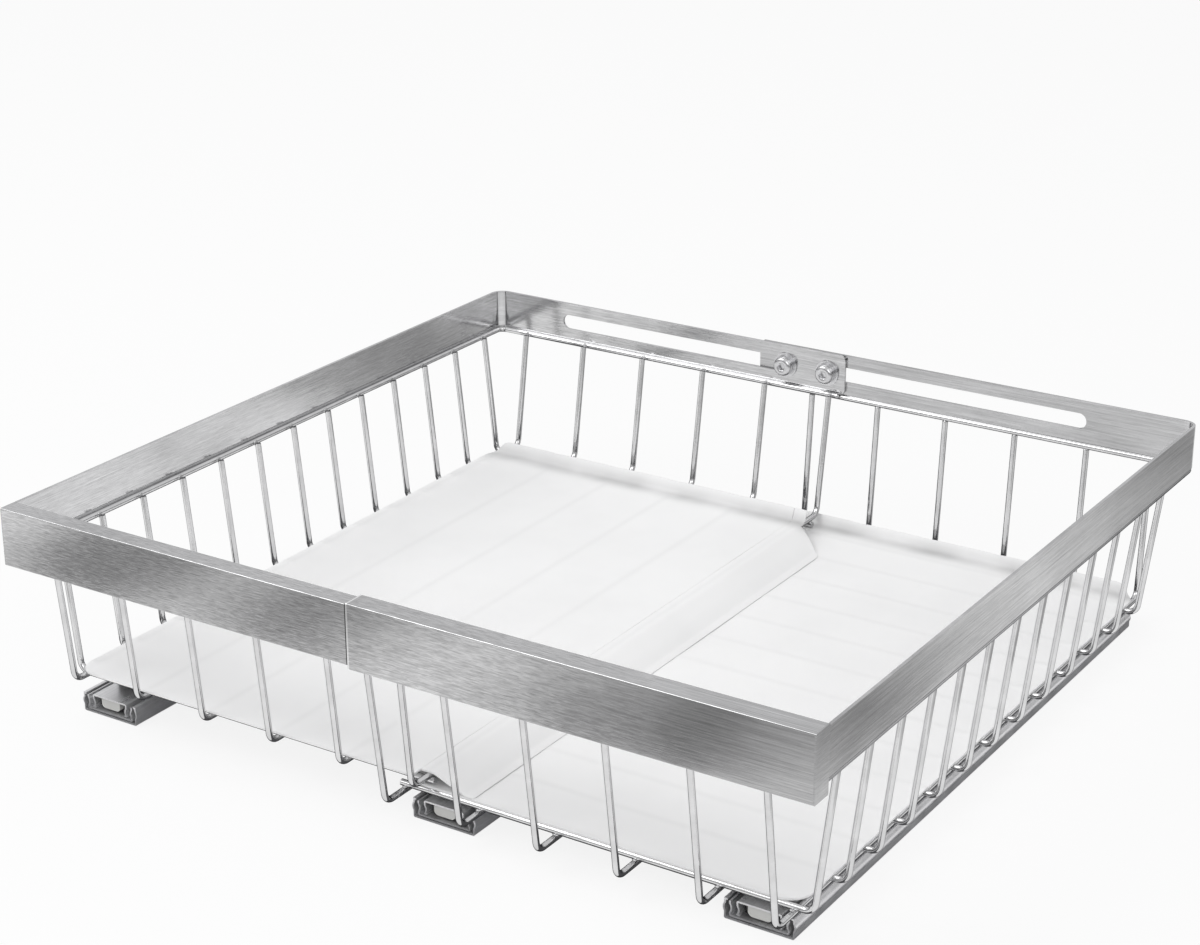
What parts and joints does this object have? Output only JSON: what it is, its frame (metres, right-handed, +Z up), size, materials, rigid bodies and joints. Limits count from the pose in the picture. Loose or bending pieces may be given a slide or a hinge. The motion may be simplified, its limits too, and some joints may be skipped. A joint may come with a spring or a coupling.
{
  "type": "pull out cabinet basket",
  "caption": "Width-adjustable stainless wire basket that pulls out of a cabinet on flat ball-bearing slides, with a telescoping front bar and frosted floor liners.",
  "frame": {"origin": "middle of the overall box at the height of the slides' undersides", "axes": "+X along the front bar, +Y from the front to the back, +Z up"},
  "size_m": [0.56, 0.5408, 0.1458],
  "materials": {
    "brushed_bar": "fine brushed along the length",
    "brushed_strip": "brushed along the length",
    "polished_wire": "electropolished stainless wire",
    "frosted_plastic": "frosted translucent sheet",
    "screw_steel": "turned stainless",
    "rail_steel": "zinc plated, satin",
    "cage_steel": "stamped strip",
    "ball_steel": "bearing balls",
    "black_plastic": "moulded",
    "grey_plastic": "moulded",
    "carrier_steel": "mill finish strip"
  },
  "bodies": {
    "left_floor_rail": {"left_outer_rail": "rail_steel"},
    "left_middle_slide": {"left_middle_rail": "rail_steel"},
    "left_outer_bearing": {"left_outer_cages": "cage_steel", "left_outer_balls": "ball_steel"},
    "left_inner_bearing": {"left_inner_cages": "cage_steel", "left_inner_balls": "ball_steel"},
    "left_basket": {"left_front_bar": "brushed_bar", "left_bar_end_cap": "brushed_bar", "left_rim_strip": "brushed_strip", "left_rim_rod": "polished_wire", "left_u_wires": "polished_wire", "left_side_wires": "polished_wire", "left_liner": "frosted_plastic", "left_clamp_washers": "screw_steel", "left_clamp_nut": "screw_steel", "left_carrier": "carrier_steel", "left_inner_rail": "rail_steel", "left_stop_block": "black_plastic", "left_release_tab": "grey_plastic"},
    "left_clamp": {"left_clamp_screw": "screw_steel"},
    "right_floor_rails": {"centre_outer_rail": "rail_steel", "right_outer_rail": "rail_steel"},
    "right_middle_slides": {"centre_middle_rail": "rail_steel", "right_middle_rail": "rail_steel"},
    "right_outer_bearings": {"centre_outer_cages": "cage_steel", "centre_outer_balls": "ball_steel", "right_outer_cages": "cage_steel", "right_outer_balls": "ball_steel"},
    "right_inner_bearings": {"centre_inner_cages": "cage_steel", "centre_inner_balls": "ball_steel", "right_inner_cages": "cage_steel", "right_inner_balls": "ball_steel"},
    "right_basket": {"right_front_sleeve": "brushed_bar", "right_sleeve_end_cap": "brushed_bar", "right_rim_strip": "brushed_strip", "right_rim_rod": "polished_wire", "right_u_wires": "polished_wire", "right_side_wires": "polished_wire", "right_liner": "frosted_plastic", "right_clamp_washers": "screw_steel", "right_clamp_nut": "screw_steel", "right_carrier": "carrier_steel", "centre_carrier": "carrier_steel", "right_inner_rail": "rail_steel", "centre_inner_rail": "rail_steel", "right_stop_block": "black_plastic", "centre_stop_block": "black_plastic", "right_release_tab": "grey_plastic", "centre_release_tab": "grey_plastic"},
    "right_clamp": {"right_clamp_screw": "screw_steel"}
  },
  "joints": [
    {"name": "pull_out", "type": "slide", "parent": "left_floor_rail", "child": "left_basket", "axis": [0, -1, 0], "range_m": [0, 0.45]},
    {"name": "left_middle_run", "type": "slide", "parent": "left_floor_rail", "child": "left_middle_slide", "axis": [0, -1, 0], "range_m": [0, 0.225]},
    {"name": "left_outer_ball_run", "type": "slide", "parent": "left_floor_rail", "child": "left_outer_bearing", "axis": [0, -1, 0], "range_m": [0, 0.1125]},
    {"name": "left_inner_ball_run", "type": "slide", "parent": "left_floor_rail", "child": "left_inner_bearing", "axis": [0, -1, 0], "range_m": [0, 0.3375]},
    {"name": "width_adjust", "type": "slide", "parent": "left_floor_rail", "child": "right_floor_rails", "axis": [1, 0, 0], "range_m": [-0.185, 0]},
    {"name": "right_pull_out", "type": "slide", "parent": "right_floor_rails", "child": "right_basket", "axis": [0, -1, 0], "range_m": [0, 0.45]},
    {"name": "right_middle_run", "type": "slide", "parent": "right_floor_rails", "child": "right_middle_slides", "axis": [0, -1, 0], "range_m": [0, 0.225]},
    {"name": "right_outer_ball_run", "type": "slide", "parent": "right_floor_rails", "child": "right_outer_bearings", "axis": [0, -1, 0], "range_m": [0, 0.1125]},
    {"name": "right_inner_ball_run", "type": "slide", "parent": "right_floor_rails", "child": "right_inner_bearings", "axis": [0, -1, 0], "range_m": [0, 0.3375]},
    {"name": "left_screw_turn", "type": "hinge", "parent": "left_basket", "child": "left_clamp", "pos_m": [0.006, 0.26162, 0.13015], "axis": [0, -1, 0], "range_deg": [0, 360]},
    {"name": "right_screw_turn", "type": "hinge", "parent": "right_basket", "child": "right_clamp", "pos_m": [-0.0276, 0.26162, 0.13015], "axis": [0, -1, 0], "range_deg": [0, 360]}
  ],
  "couplings": [
    {"joint": "left_middle_run", "follows": "pull_out", "ratio": 0.5},
    {"joint": "left_outer_ball_run", "follows": "pull_out", "ratio": 0.25},
    {"joint": "left_inner_ball_run", "follows": "pull_out", "ratio": 0.75},
    {"joint": "right_pull_out", "follows": "pull_out", "ratio": 1},
    {"joint": "right_middle_run", "follows": "pull_out", "ratio": 0.5},
    {"joint": "right_outer_ball_run", "follows": "pull_out", "ratio": 0.25},
    {"joint": "right_inner_ball_run", "follows": "pull_out", "ratio": 0.75}
  ]
}
